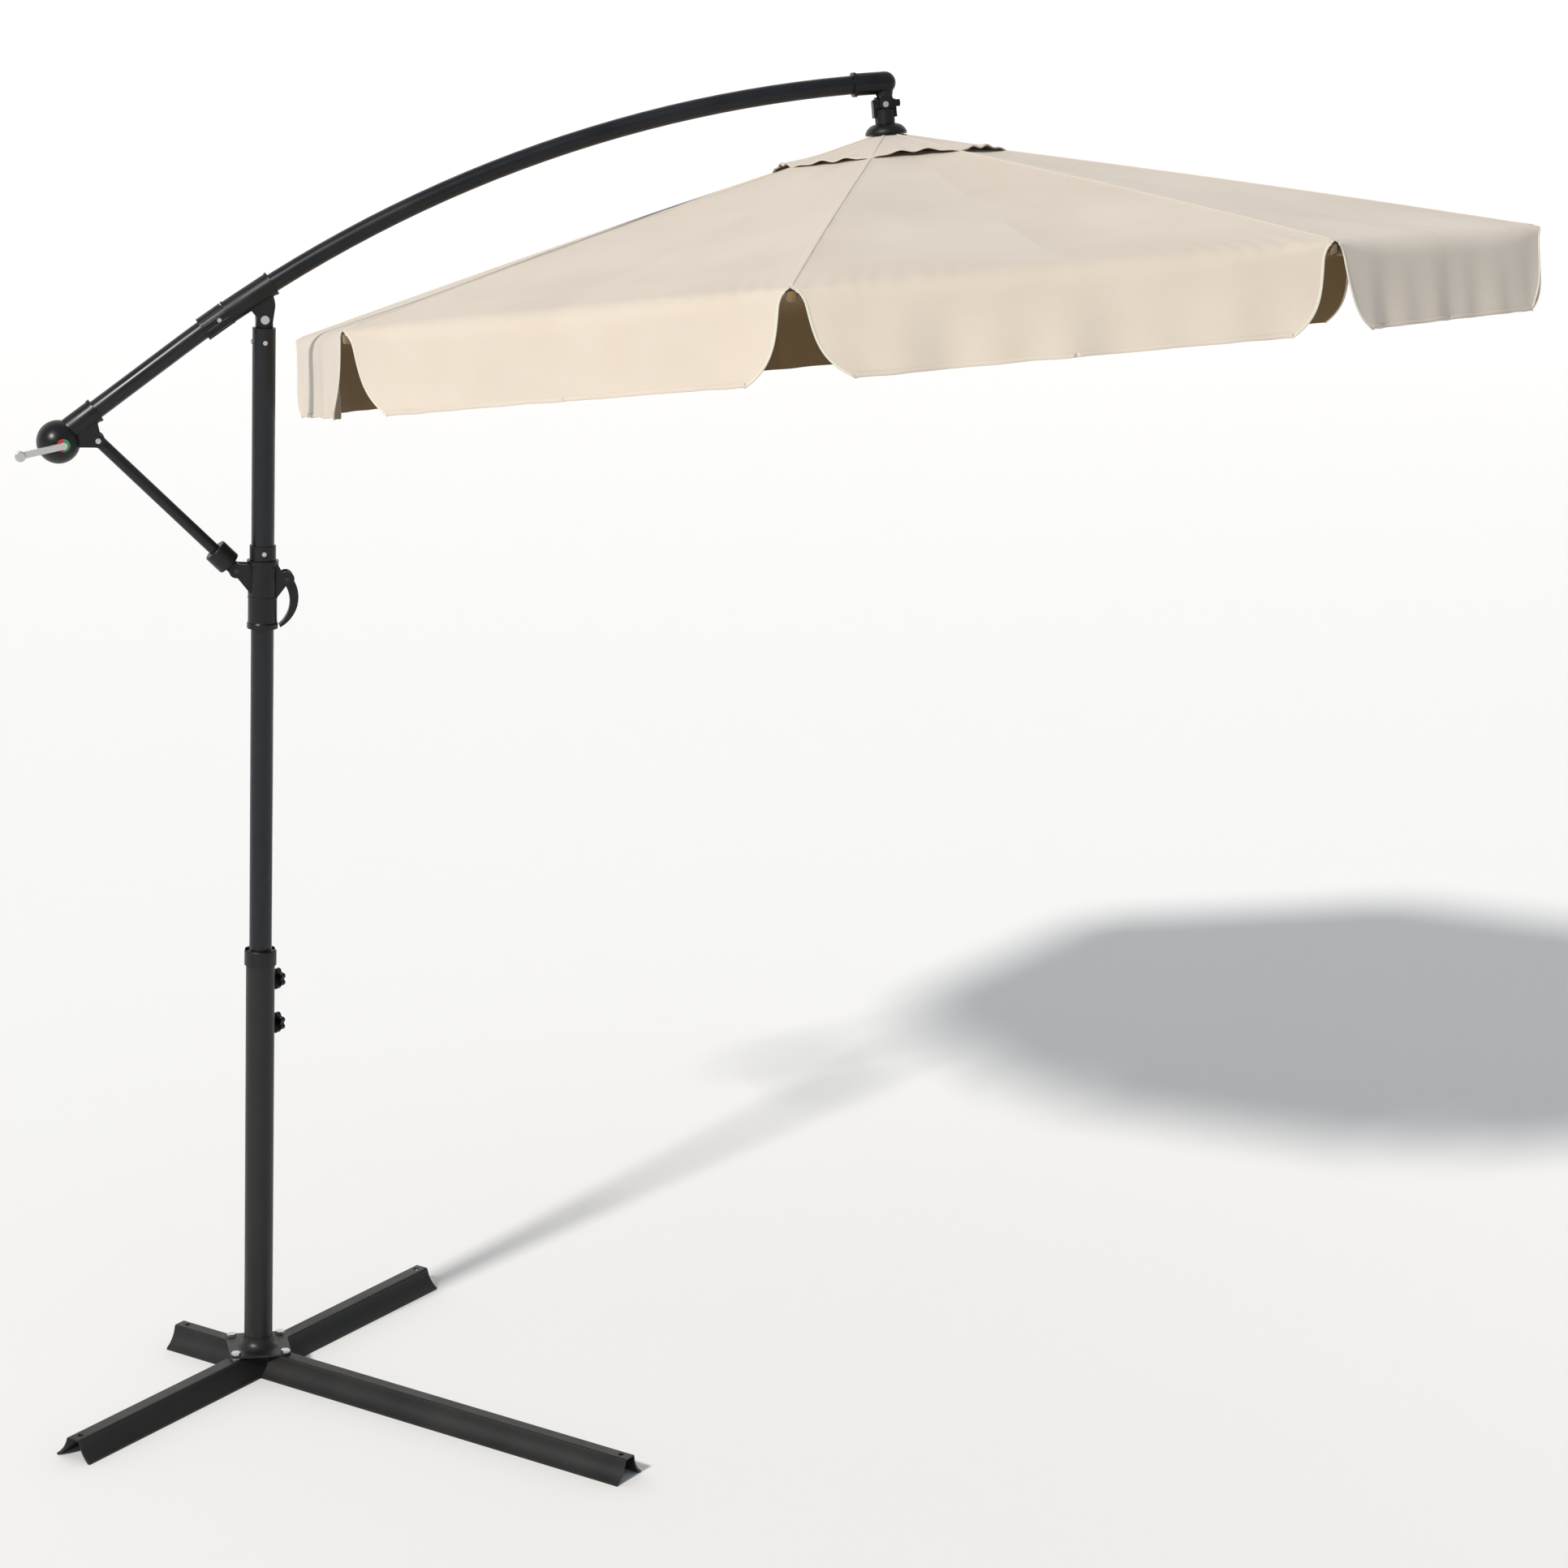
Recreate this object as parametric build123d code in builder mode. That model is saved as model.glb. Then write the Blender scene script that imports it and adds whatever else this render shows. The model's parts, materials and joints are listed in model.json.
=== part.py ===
"""Cantilever parasol with an octagonal canopy on a steel ground cross, every piece its own solid.

Frame: +Z up, +X from the mast towards the canopy, origin on the ground under the mast axis.
"""
import os
from math import asin
from math import cos
from math import degrees
from math import hypot
from math import radians
from math import sin
from math import sqrt
from math import tan

from build123d import *

os.makedirs("parts", exist_ok=True)

# ground cross
SHEET = 3.0
BEAM_TOP = 30.0
BEAM_WIDE = 80.0
CROSS_HIGH = 42.0
LONG_HIGH = CROSS_HIGH + SHEET
BEAM_OVERHANG = 20.0
CROSS_REACH = 518.0
LONG_FRONT = 860.0
LONG_REAR = 180.0
ANCHOR_HOLE = 5.5
PLATE_SIDE = 120.0
PLATE_THICK = 4.0
BOLT_CIRCLE = 68.0
BOLT_SHANK = 4.0
CROSS_AZIMUTH = 45.0

# lower tube and mast
LOWER_R = 27.5
LOWER_BORE = 26.0
LOWER_TOP = 833.0
COLLAR_TOP = 864.0
MAST_R = 21.5
MAST_BORE = 20.0
MAST_BOTTOM = 600.0
MAST_TOP = 2055.0
FIT = 0.05
KNOB_HEIGHTS = (793.0, 704.0)
KNOB_LOBES = 7
STUD_R = 4.0

# slide collar and lock lever
COLLAR_LOW = 1493.0
COLLAR_HIGH = 1622.0
COLLAR_R = 27.25
COLLAR_BORE = 24.0
LEVER_PIN_X = 44.0
LEVER_PIN_Z = 1588.0
STRUT_FOOT_X = -50.0
STRUT_FOOT_Z = 1604.0

# arm
PIVOT_Z = 2073.0
EYE_R = 15.5
ARM_R = 17.5
ARM_BORE = 16.0
ARC_R = 2500.0
ARC_X = 1372.0
ARC_Z = 39.8
ARM_JOINT_X = -60.0
STRAIGHT_FROM_X = -150.0
NECK_END_X = -306.0
BALL_R = 40.0
BALL_X = -374.0
BALL_Z = 1844.0
LUG_X = -303.0
LUG_Z = 1848.0
STRUT_R = 11.25
CRANK_X = -367.0
CRANK_REACH = 80.0

# canopy head
HEAD_X = 1163.0
HEAD_Z = 2492.0
SWING = -5.531
TILT = -8.511
TWIST = -0.819
SIDES = 8
FIRST_CORNER = 22.5
RIM_R = 1200.0
APEX = -58.0
RIB_SLOPE = 13.3
RIB_PIVOT_R = 32.0
RIB_PIVOT_Z = -76.0
RIB_END_R = 1189.0
RIB_TALL = 16.0
RIB_WIDE = 10.0
STAY_AT = 420.0
STAY_DROP = 16.0
STAY_LENGTH = 450.0
RUNNER_Z = -384.23
POLE_R = 16.0
POLE_END = -430.0
VENT_R = 225.0
VENT_OPENING = 170.0
CLOTH = 1.0
VALANCE = 150.0
SLIT_CURVE = 75.0

swing = radians(SWING)
tilt = radians(TILT)
SWING_X = Vector(cos(swing), 0, -sin(swing))
SWING_Z = Vector(sin(swing), 0, cos(swing))
HEAD_UP = SWING_Z * cos(tilt) - Vector(0, 1, 0) * sin(tilt)
HEAD_SIDE = SWING_Z * sin(tilt) + Vector(0, 1, 0) * cos(tilt)
HEAD_OUT = SWING_X * cos(radians(TWIST)) + HEAD_SIDE * sin(radians(TWIST))
KNUCKLE = Plane(origin=(HEAD_X, 0, HEAD_Z), x_dir=SWING_X, z_dir=SWING_Z)
STEM = Plane(origin=(HEAD_X, 0, HEAD_Z), x_dir=SWING_X, z_dir=HEAD_UP)
HEAD = Plane(origin=(HEAD_X, 0, HEAD_Z), x_dir=HEAD_OUT, z_dir=HEAD_UP)


def save(builder, name):
    """Label the piece and write it out in the shared frame."""
    builder.part.label = name
    export_step(builder.part, f"parts/{name}.step")


def rod(start, end, radius, mode=Mode.ADD):
    """Straight round bar between two points."""
    base = Vector(*start)
    run = Vector(*end) - base
    with BuildSketch(Plane(origin=base, z_dir=run)) as disc:
        Circle(radius)
    extrude(disc.sketch, amount=run.length, mode=mode)


def side_plane(y):
    """Vertical plane along the arm at one y, its local x and y being world x and z."""
    return Plane(origin=(0, y, 0), x_dir=(1, 0, 0), z_dir=(0, -1, 0))


def arc_point(x):
    """Point of the arm's centre line on its bend."""
    return Vector(x, 0, ARC_Z + sqrt(ARC_R**2 - (x - ARC_X) ** 2))


def arc_angle(x):
    """Slope of the bend in degrees."""
    return degrees(asin((ARC_X - x) / ARC_R))


def bend(x_from, x_to, outer, inner=0.0, mode=Mode.ADD):
    """Round bar or tube that follows the arm's bend."""
    slope = radians(arc_angle(x_from))
    across = Plane(origin=arc_point(x_from), x_dir=(0, 1, 0), z_dir=(cos(slope), 0, sin(slope)))
    with BuildSketch(across) as ring:
        Circle(outer)
        if inner > 0:
            Circle(inner, mode=Mode.SUBTRACT)
    hub_axis = Axis((ARC_X, 0, ARC_Z), (0, 1, 0))
    turn = arc_angle(x_from) - arc_angle(x_to)
    revolve(ring.sketch, axis=hub_axis, revolution_arc=turn, mode=mode)


SLOPE = radians(arc_angle(STRAIGHT_FROM_X))
ARM_DIR = Vector(cos(SLOPE), 0, sin(SLOPE))
ARM_KNEE = arc_point(STRAIGHT_FROM_X)
NECK_END = ARM_KNEE - ARM_DIR * ((STRAIGHT_FROM_X - NECK_END_X) / cos(SLOPE))
TUBE_END = NECK_END - ARM_DIR * 38.0
BALL = Vector(BALL_X, 0, BALL_Z)


def beam(name, length_front, length_rear, high, azimuth, notch):
    """Hat-section beam of bent sheet, open below, with an anchor hole near each end."""
    along = Plane(origin=(0, 0, 0), z_dir=(0, 0, 1)).rotated((0, 0, azimuth))
    start = along.from_local_coords(Vector(-length_rear - BEAM_OVERHANG, 0, 0))
    profile = Plane(origin=start, x_dir=along.y_dir, z_dir=along.x_dir)
    half_top = BEAM_TOP / 2
    half = BEAM_WIDE / 2
    with BuildPart() as piece:
        with BuildSketch(profile) as outline:
            with BuildLine():
                Line((half, 0), (half, 4))
                ThreePointArc((half, 4), (23, 21), (half_top + 1, high - 5))
                ThreePointArc((half_top + 1, high - 5), (half_top - 0.5, high - 1.4), (half_top - 4, high))
                Line((half_top - 4, high), (4 - half_top, high))
                ThreePointArc((4 - half_top, high), (0.5 - half_top, high - 1.4), (-half_top - 1, high - 5))
                ThreePointArc((-half_top - 1, high - 5), (-23, 21), (-half, 4))
                Line((-half, 4), (-half, 0))
                Line((-half, 0), (4.5 - half, 0))
                ThreePointArc((4.5 - half, 0), (-19.7, 20), (-half_top + 2, high - SHEET))
                Line((-half_top + 2, high - SHEET), (half_top - 2, high - SHEET))
                ThreePointArc((half_top - 2, high - SHEET), (19.7, 20), (half - 4.5, 0))
                Line((half - 4.5, 0), (half, 0))
            make_face()
        extrude(outline.sketch, amount=length_front + length_rear + 2 * BEAM_OVERHANG)
        holes = (length_front, -length_rear)
        for reach in holes:
            spot = along.from_local_coords(Vector(reach, 0, 0))
            rod(spot, spot + Vector(0, 0, high + 5), ANCHOR_HOLE, Mode.SUBTRACT)
        for reach in (BOLT_CIRCLE, -BOLT_CIRCLE):
            spot = along.from_local_coords(Vector(reach, 0, 0))
            rod(spot, spot + Vector(0, 0, high + 5), BOLT_SHANK, Mode.SUBTRACT)
        if notch:
            with BuildSketch(along) as outline:
                Rectangle(BEAM_WIDE + 1, BEAM_WIDE + 10)
            extrude(outline.sketch, amount=high - SHEET, mode=Mode.SUBTRACT)
    save(piece, name)


beam("cross_beam", CROSS_REACH, CROSS_REACH, CROSS_HIGH, CROSS_AZIMUTH, False)
beam("long_beam", LONG_FRONT, LONG_REAR, LONG_HIGH, -CROSS_AZIMUTH, True)

with BuildPart() as tie_plate:
    with BuildSketch(Plane.XY.rotated((0, 0, CROSS_AZIMUTH))) as outline:
        Rectangle(130, BEAM_WIDE - 13.4)
    extrude(outline.sketch, amount=2.0)
save(tie_plate, "tie_plate")

PLATE_LOW = LONG_HIGH
PLATE_HIGH = PLATE_LOW + PLATE_THICK
with BuildPart() as foot_plate:
    with BuildSketch(Plane.XY.offset(PLATE_LOW)) as outline:
        RectangleRounded(PLATE_SIDE, PLATE_SIDE, 18)
        with PolarLocations(BOLT_CIRCLE, 4, start_angle=CROSS_AZIMUTH):
            Circle(BOLT_SHANK, mode=Mode.SUBTRACT)
    extrude(outline.sketch, amount=PLATE_THICK)
    with BuildSketch(Plane.XZ) as flare:
        with BuildLine():
            Line((LOWER_R, PLATE_HIGH), (LOWER_R + 14, PLATE_HIGH))
            ThreePointArc(
                (LOWER_R + 14, PLATE_HIGH),
                (LOWER_R + 5, PLATE_HIGH + 7),
                (LOWER_R + 1, PLATE_HIGH + 22),
            )
            Line((LOWER_R + 1, PLATE_HIGH + 22), (LOWER_R, PLATE_HIGH + 22))
            Line((LOWER_R, PLATE_HIGH + 22), (LOWER_R, PLATE_HIGH))
        make_face()
    revolve(flare.sketch, axis=Axis.Z)
save(foot_plate, "foot_plate")

with BuildPart() as foot_bolts:
    for k in range(4):
        azimuth = CROSS_AZIMUTH + 90 * k
        spot = Vector(BOLT_CIRCLE, 0, 0).rotate(Axis.Z, azimuth)
        on_long = k % 2 == 1
        under = (LONG_HIGH if on_long else CROSS_HIGH) - SHEET
        with BuildSketch(Plane(origin=spot + Vector(0, 0, PLATE_HIGH))) as head:
            RegularPolygon(9.2, 6)
        extrude(head.sketch, amount=5.5)
        with BuildSketch(Plane(origin=spot + Vector(0, 0, under))) as nut:
            RegularPolygon(8.6, 6)
        extrude(nut.sketch, amount=-7)
        rod(spot + Vector(0, 0, under - 9), spot + Vector(0, 0, PLATE_HIGH), BOLT_SHANK)
        if not on_long:
            with BuildSketch(Plane(origin=spot + Vector(0, 0, CROSS_HIGH))) as washer:
                Circle(10.5)
            extrude(washer.sketch, amount=SHEET)
save(foot_bolts, "foot_bolts")

STUD = Vector(cos(radians(CROSS_AZIMUTH)), sin(radians(CROSS_AZIMUTH)), 0)
with BuildPart() as lower_tube:
    with BuildSketch(Plane.XY.offset(PLATE_HIGH)) as outline:
        Circle(LOWER_R)
        Circle(LOWER_BORE, mode=Mode.SUBTRACT)
    extrude(outline.sketch, amount=LOWER_TOP - PLATE_HIGH)
    with BuildSketch(Plane.XY.offset(MAST_BOTTOM - 8)) as outline:
        Circle(LOWER_BORE)
        Circle(14, mode=Mode.SUBTRACT)
    extrude(outline.sketch, amount=8)
    for height in KNOB_HEIGHTS:
        level = Vector(0, 0, height)
        rod(level + STUD * 26.5, level + STUD * 35, 9)
        rod(level + STUD * 20, level + STUD * 40, STUD_R + FIT, Mode.SUBTRACT)
save(lower_tube, "lower_tube")

with BuildPart() as tube_collar:
    with BuildSketch(Plane.XY.offset(LOWER_TOP)) as outline:
        Circle(30.75)
    extrude(outline.sketch, amount=COLLAR_TOP - LOWER_TOP)
    fillet(tube_collar.edges().group_by(Axis.Z)[-1], 3)
    with BuildSketch(Plane.XY.offset(680)) as outline:
        Circle(LOWER_BORE)
    extrude(outline.sketch, amount=LOWER_TOP - 680)
    with BuildSketch(Plane.XY.offset(680)) as outline:
        Circle(MAST_R + FIT)
    extrude(outline.sketch, amount=200, mode=Mode.SUBTRACT)
    with BuildSketch(Plane(origin=(0, 0, COLLAR_TOP - 5))) as outline:
        Rectangle(70, 22)
    extrude(outline.sketch, amount=6, mode=Mode.SUBTRACT)
    for height in KNOB_HEIGHTS:
        level = Vector(0, 0, height)
        rod(level + STUD * 20, level + STUD * 30, STUD_R + FIT, Mode.SUBTRACT)
save(tube_collar, "tube_collar")


def star_knob(name, centre, axis, radius, lobes, thick, stud_back):
    """Lobed hand knob on a threaded stud; axis points away from the clamped tube."""
    face = Plane(origin=centre, z_dir=axis)
    with BuildPart() as piece:
        with BuildSketch(face) as outline:
            Circle(radius * 0.8)
            with PolarLocations(radius * 0.72, lobes):
                Circle(radius * 0.28)
        extrude(outline.sketch, amount=thick)
        fillet(piece.edges().group_by(Axis(centre, axis))[-1], thick * 0.16)
        with BuildSketch(face) as outline:
            Circle(radius * 0.42)
        extrude(outline.sketch, amount=-5)
        rod(centre - axis * stud_back, centre, STUD_R)
    save(piece, name)


for name, height in zip(("upper_knob", "lower_knob"), KNOB_HEIGHTS):
    star_knob(name, Vector(0, 0, height) + STUD * 41, STUD, 21.0, KNOB_LOBES, 13, 41 - MAST_R - 0.2)

SCREW_SPOTS = (
    (Vector(0, -1, 0), 2031.0, MAST_R),
    (Vector(-1, 0, 0), 2031.0, MAST_R),
    (Vector(0, -1, 0), 1637.0, 24.5),
)


def mast_screw_holes():
    """Holes for the screws of the mast top and the stop ring."""
    for way, height, surface in SCREW_SPOTS:
        level = Vector(0, 0, height)
        rod(level + way * (surface - 8), level + way * (surface + 2), 2.0, Mode.SUBTRACT)


with BuildPart() as mast_tube:
    with BuildSketch(Plane.XY.offset(MAST_BOTTOM)) as outline:
        Circle(MAST_R)
        Circle(MAST_BORE, mode=Mode.SUBTRACT)
    extrude(outline.sketch, amount=MAST_TOP - MAST_BOTTOM)
    mast_screw_holes()
save(mast_tube, "mast_tube")

with BuildPart() as stop_ring:
    with BuildSketch(Plane.XY.offset(COLLAR_HIGH + 0.6)) as outline:
        Circle(24.5)
        Circle(MAST_R, mode=Mode.SUBTRACT)
    extrude(outline.sketch, amount=27.4)
    mast_screw_holes()
save(stop_ring, "stop_ring")

with BuildPart() as mast_screws:
    for way, height, surface in SCREW_SPOTS:
        level = Vector(0, 0, height)
        rod(level + way * (surface - 7.9), level + way * (surface + 0.3), 2.0)
        rod(level + way * surface, level + way * (surface + 2.4), 4.2)
    with BuildSketch(Plane.XY.offset(1600)) as outline:
        Circle(24.5)
    extrude(outline.sketch, amount=80, mode=Mode.SUBTRACT)
    with BuildSketch(Plane.XY.offset(2000)) as outline:
        Circle(MAST_R)
    extrude(outline.sketch, amount=80, mode=Mode.SUBTRACT)
    for way, height, surface in SCREW_SPOTS:
        level = Vector(0, 0, height)
        rod(level + way * (surface - 7.9), level + way * (surface + 0.5), 2.0)
save(mast_screws, "mast_screws")

with BuildPart() as mast_cap:
    with BuildSketch(Plane.XY.offset(MAST_TOP - 60)) as outline:
        Circle(MAST_BORE)
    extrude(outline.sketch, amount=60)
    with BuildSketch(Plane.XY.offset(MAST_TOP)) as outline:
        Circle(MAST_R)
    extrude(outline.sketch, amount=2)
    with BuildSketch(side_plane(8.5)) as eye:
        with Locations((0, PIVOT_Z)):
            Circle(EYE_R)
        with Locations((0, (PIVOT_Z + MAST_TOP) / 2)):
            Rectangle(2 * EYE_R, PIVOT_Z - MAST_TOP)
    extrude(eye.sketch, amount=17)
    rod((0, -20, PIVOT_Z), (0, 20, PIVOT_Z), 5 + FIT, Mode.SUBTRACT)
    mast_screw_holes()
save(mast_cap, "mast_cap")

with BuildPart() as pivot_bolt:
    rod((0, -14, PIVOT_Z), (0, 14, PIVOT_Z), 5)
    rod((0, -19, PIVOT_Z), (0, -14, PIVOT_Z), 8)
    with BuildSketch(side_plane(14)) as nut:
        with Locations((0, PIVOT_Z)):
            RegularPolygon(8.5, 6)
    extrude(nut.sketch, amount=-6)
save(pivot_bolt, "pivot_bolt")


def strut_line(distance):
    """Point of the strut's centre line, measured up from its foot pivot."""
    run = Vector(LUG_X - STRUT_FOOT_X, 0, LUG_Z - STRUT_FOOT_Z)
    return Vector(STRUT_FOOT_X, 0, STRUT_FOOT_Z) + run * (distance / run.length)


STRUT_SPAN = hypot(LUG_X - STRUT_FOOT_X, LUG_Z - STRUT_FOOT_Z)

with BuildPart() as slide_collar:
    with BuildSketch(Plane.XZ) as barrel:
        with BuildLine():
            Polyline(
                (0, COLLAR_LOW),
                (29, COLLAR_LOW),
                (29, COLLAR_LOW + 9),
                (COLLAR_R, COLLAR_LOW + 12),
                (COLLAR_R, 1550),
                (COLLAR_R + 0.8, 1551),
                (COLLAR_R + 0.8, 1553),
                (COLLAR_R, 1554),
                (COLLAR_R, COLLAR_HIGH - 12),
                (29.5, COLLAR_HIGH - 9),
                (29.5, COLLAR_HIGH),
                (0, COLLAR_HIGH),
                close=True,
            )
        make_face()
    revolve(barrel.sketch, axis=Axis.Z)
    for y in (13.5, -9.5):
        with BuildSketch(side_plane(y)) as ear:
            with BuildLine():
                Line((5, 1618), (25.5, 1618))
                Line((25.5, 1618), (LEVER_PIN_X - 8, 1600))
                ThreePointArc(
                    (LEVER_PIN_X - 8, 1600),
                    (LEVER_PIN_X + 14, LEVER_PIN_Z),
                    (LEVER_PIN_X - 2, 1574),
                )
                Line((LEVER_PIN_X - 2, 1574), (25.5, 1552))
                Line((25.5, 1552), (5, 1552))
                Line((5, 1552), (5, 1618))
            make_face()
        extrude(ear.sketch, amount=4)
    for y in (14.0, -9.0):
        with BuildSketch(side_plane(y)) as cheek:
            with BuildLine():
                Line((-5, 1616), (-25.5, 1616))
                Line((-25.5, 1616), (STRUT_FOOT_X + 6, STRUT_FOOT_Z + 12.6))
                ThreePointArc(
                    (STRUT_FOOT_X + 6, STRUT_FOOT_Z + 12.6),
                    (STRUT_FOOT_X - 14, STRUT_FOOT_Z),
                    (STRUT_FOOT_X + 2, STRUT_FOOT_Z - 13.9),
                )
                Line((STRUT_FOOT_X + 2, STRUT_FOOT_Z - 13.9), (-25.5, 1562))
                Line((-25.5, 1562), (-5, 1562))
                Line((-5, 1562), (-5, 1616))
            make_face()
        extrude(cheek.sketch, amount=5)
    with BuildSketch(Plane.XY.offset(COLLAR_LOW - 5)) as outline:
        Circle(COLLAR_BORE)
    extrude(outline.sketch, amount=140, mode=Mode.SUBTRACT)
    rod((LEVER_PIN_X, -20, LEVER_PIN_Z), (LEVER_PIN_X, 20, LEVER_PIN_Z), 3, Mode.SUBTRACT)
    rod((STRUT_FOOT_X, -20, STRUT_FOOT_Z), (STRUT_FOOT_X, 20, STRUT_FOOT_Z), 4, Mode.SUBTRACT)
save(slide_collar, "slide_collar")

with BuildPart() as collar_pins:
    rod((LEVER_PIN_X, -14.5, LEVER_PIN_Z), (LEVER_PIN_X, 14.5, LEVER_PIN_Z), 3)
    for y in (-15.5, 13.5):
        rod((LEVER_PIN_X, y, LEVER_PIN_Z), (LEVER_PIN_X, y + 2, LEVER_PIN_Z), 4.2)
    for y in (-16, 14):
        rod((STRUT_FOOT_X, y, STRUT_FOOT_Z), (STRUT_FOOT_X, y + 2, STRUT_FOOT_Z), 5)
    rod((STRUT_FOOT_X, -14.2, STRUT_FOOT_Z), (STRUT_FOOT_X, 14.2, STRUT_FOOT_Z), 4)
save(collar_pins, "collar_pins")

with BuildPart() as lock_lever:
    with BuildSketch(side_plane(8)) as crescent:
        with BuildLine():
            ThreePointArc((LEVER_PIN_X + 4, 1597), (66.5, 1548), (33, 1494.5))
            Line((33, 1494.5), (30.6, 1500))
            ThreePointArc((30.6, 1500), (51, 1545), (LEVER_PIN_X - 9, 1583))
            ThreePointArc((LEVER_PIN_X - 9, 1583), (LEVER_PIN_X - 6, 1596), (LEVER_PIN_X + 4, 1597))
        make_face()
    extrude(crescent.sketch, amount=16)
    long_edges = lock_lever.edges().filter_by(Axis.Y, reverse=True).filter_by(lambda edge: edge.length > 40)
    chamfer(long_edges, 1.2)
    rod((LEVER_PIN_X, -20, LEVER_PIN_Z), (LEVER_PIN_X, 20, LEVER_PIN_Z), 3 + FIT, Mode.SUBTRACT)
save(lock_lever, "lock_lever")

with BuildPart() as strut_tube:
    rod(strut_line(36), strut_line(STRUT_SPAN), STRUT_R)
    with Locations(strut_line(STRUT_SPAN)):
        Sphere(STRUT_R)
    rod(strut_line(30), strut_line(STRUT_SPAN - 18), STRUT_R - 1.5, Mode.SUBTRACT)
    rod((LUG_X, -20, LUG_Z), (LUG_X, 20, LUG_Z), 4 + FIT, Mode.SUBTRACT)
save(strut_tube, "strut_tube")

with BuildPart() as strut_socket:
    rod(strut_line(15.5), strut_line(55), 23.5)
    fillet(strut_socket.edges().filter_by(GeomType.CIRCLE), 3)
    rod(strut_line(36), strut_line(60), STRUT_R, Mode.SUBTRACT)
    with BuildSketch(side_plane(8.5)) as lug:
        with Locations((STRUT_FOOT_X, STRUT_FOOT_Z)):
            Circle(12)
        with Locations(Location((strut_line(11).X, strut_line(11).Z), 136.0)):
            Rectangle(22, 24)
    extrude(lug.sketch, amount=17)
    rod((STRUT_FOOT_X, -20, STRUT_FOOT_Z), (STRUT_FOOT_X, 20, STRUT_FOOT_Z), 4 + FIT, Mode.SUBTRACT)
save(strut_socket, "strut_socket")

with BuildPart() as lower_arm:
    with BuildSketch(Plane(origin=TUBE_END, z_dir=ARM_DIR)) as outline:
        Circle(ARM_R)
        Circle(ARM_BORE, mode=Mode.SUBTRACT)
    extrude(outline.sketch, amount=(ARM_KNEE - TUBE_END).length)
    bend(STRAIGHT_FROM_X, ARM_JOINT_X, ARM_R, ARM_BORE)
save(lower_arm, "lower_arm")

ARM_TIP_X = 1143.0
with BuildPart() as upper_arm:
    bend(ARM_JOINT_X, ARM_TIP_X, ARM_R, ARM_BORE)
save(upper_arm, "upper_arm")


def sleeve(x_from, x_to, radius, ring):
    """Moulded sleeve round the bend, with a rounded bead at each end when asked."""
    start = arc_point(x_from)
    end = arc_point(x_to)
    rod(start, end, radius)
    if ring > 0:
        way = (end - start).normalized()
        rod(start, start + way * 5, radius + ring)
        rod(end - way * 5, end, radius + ring)


with BuildPart() as pivot_bracket:
    sleeve(-69, 14.5, 22, 1.2)
    ear_back = (-EYE_R * cos(radians(15)), PIVOT_Z + EYE_R * sin(radians(15)))
    for y in (14.0, -9.0):
        with BuildSketch(side_plane(y)) as ear:
            with BuildLine():
                Line((-34, 2100), ear_back)
                ThreePointArc(ear_back, (0, PIVOT_Z - EYE_R), (EYE_R, PIVOT_Z))
                Line((EYE_R, PIVOT_Z), (18, 2090))
                ThreePointArc((18, 2090), (18, 2108), (10, 2125))
                Line((10, 2125), (-34, 2100))
            make_face()
        extrude(ear.sketch, amount=5)
    with BuildSketch(side_plane(11)) as saddle:
        Polygon((-22, 2094), (8, 2107), (8, 2126), (-22, 2112), align=None)
    extrude(saddle.sketch, amount=22)
    bend(-90, 60, ARM_R, mode=Mode.SUBTRACT)
    rod((0, -20, PIVOT_Z), (0, 20, PIVOT_Z), 5, Mode.SUBTRACT)
save(pivot_bracket, "pivot_bracket")

with BuildPart() as arm_clamp:
    clamp_start = arc_point(-112)
    clamp_end = arc_point(-69.6)
    clamp_way = (clamp_end - clamp_start).normalized()
    rod(clamp_start, clamp_end, 21)
    rod(clamp_start, clamp_start + clamp_way * 5, 22.8)
    for k in range(12):
        turn = radians(15 + 30 * k)
        ridge = Vector(0, cos(turn), 0) * 20.8 + clamp_way.cross(Vector(0, 1, 0)) * (20.8 * sin(turn))
        rod(clamp_start + ridge, clamp_end + ridge, 1.9)
    bend(-130, -50, ARM_R, mode=Mode.SUBTRACT)
    rod((-84, -26, 2072.5), (-84, -15, 2072.5), 2.0, Mode.SUBTRACT)
save(arm_clamp, "arm_clamp")

with BuildPart() as crank_housing:
    with Locations(BALL):
        Sphere(BALL_R)
    rod(NECK_END, NECK_END - ARM_DIR * 60, 22)
    rod(NECK_END, NECK_END - ARM_DIR * 6, 23.5)
    for y in (16.0, -12.0):
        with BuildSketch(side_plane(y)) as cheek:
            with Locations((LUG_X, LUG_Z)):
                Circle(13)
            with BuildLine():
                Polyline(
                    (LUG_X + 4, LUG_Z + 12.3),
                    (NECK_END.X + 2, NECK_END.Z - 20),
                    (NECK_END.X - 30, NECK_END.Z - 34),
                    (BALL_X + 30, BALL_Z - 8),
                    (LUG_X - 4, LUG_Z - 12.3),
                    close=True,
                )
            make_face()
        extrude(cheek.sketch, amount=4)
    rod(NECK_END + ARM_DIR * 5, TUBE_END, ARM_R, Mode.SUBTRACT)
    with Locations(BALL):
        Sphere(BALL_R - 4, mode=Mode.SUBTRACT)
    rod((LUG_X, -20, LUG_Z), (LUG_X, 20, LUG_Z), 4, Mode.SUBTRACT)
    rod((CRANK_X, -50, BALL_Z), (CRANK_X, 50, BALL_Z), 5 + FIT, Mode.SUBTRACT)
    with BuildSketch(side_plane(-37)) as boss:
        with Locations((CRANK_X, BALL_Z)):
            Circle(13)
            Circle(5 + FIT, mode=Mode.SUBTRACT)
    extrude(boss.sketch, amount=5)
save(crank_housing, "crank_housing")

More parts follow.
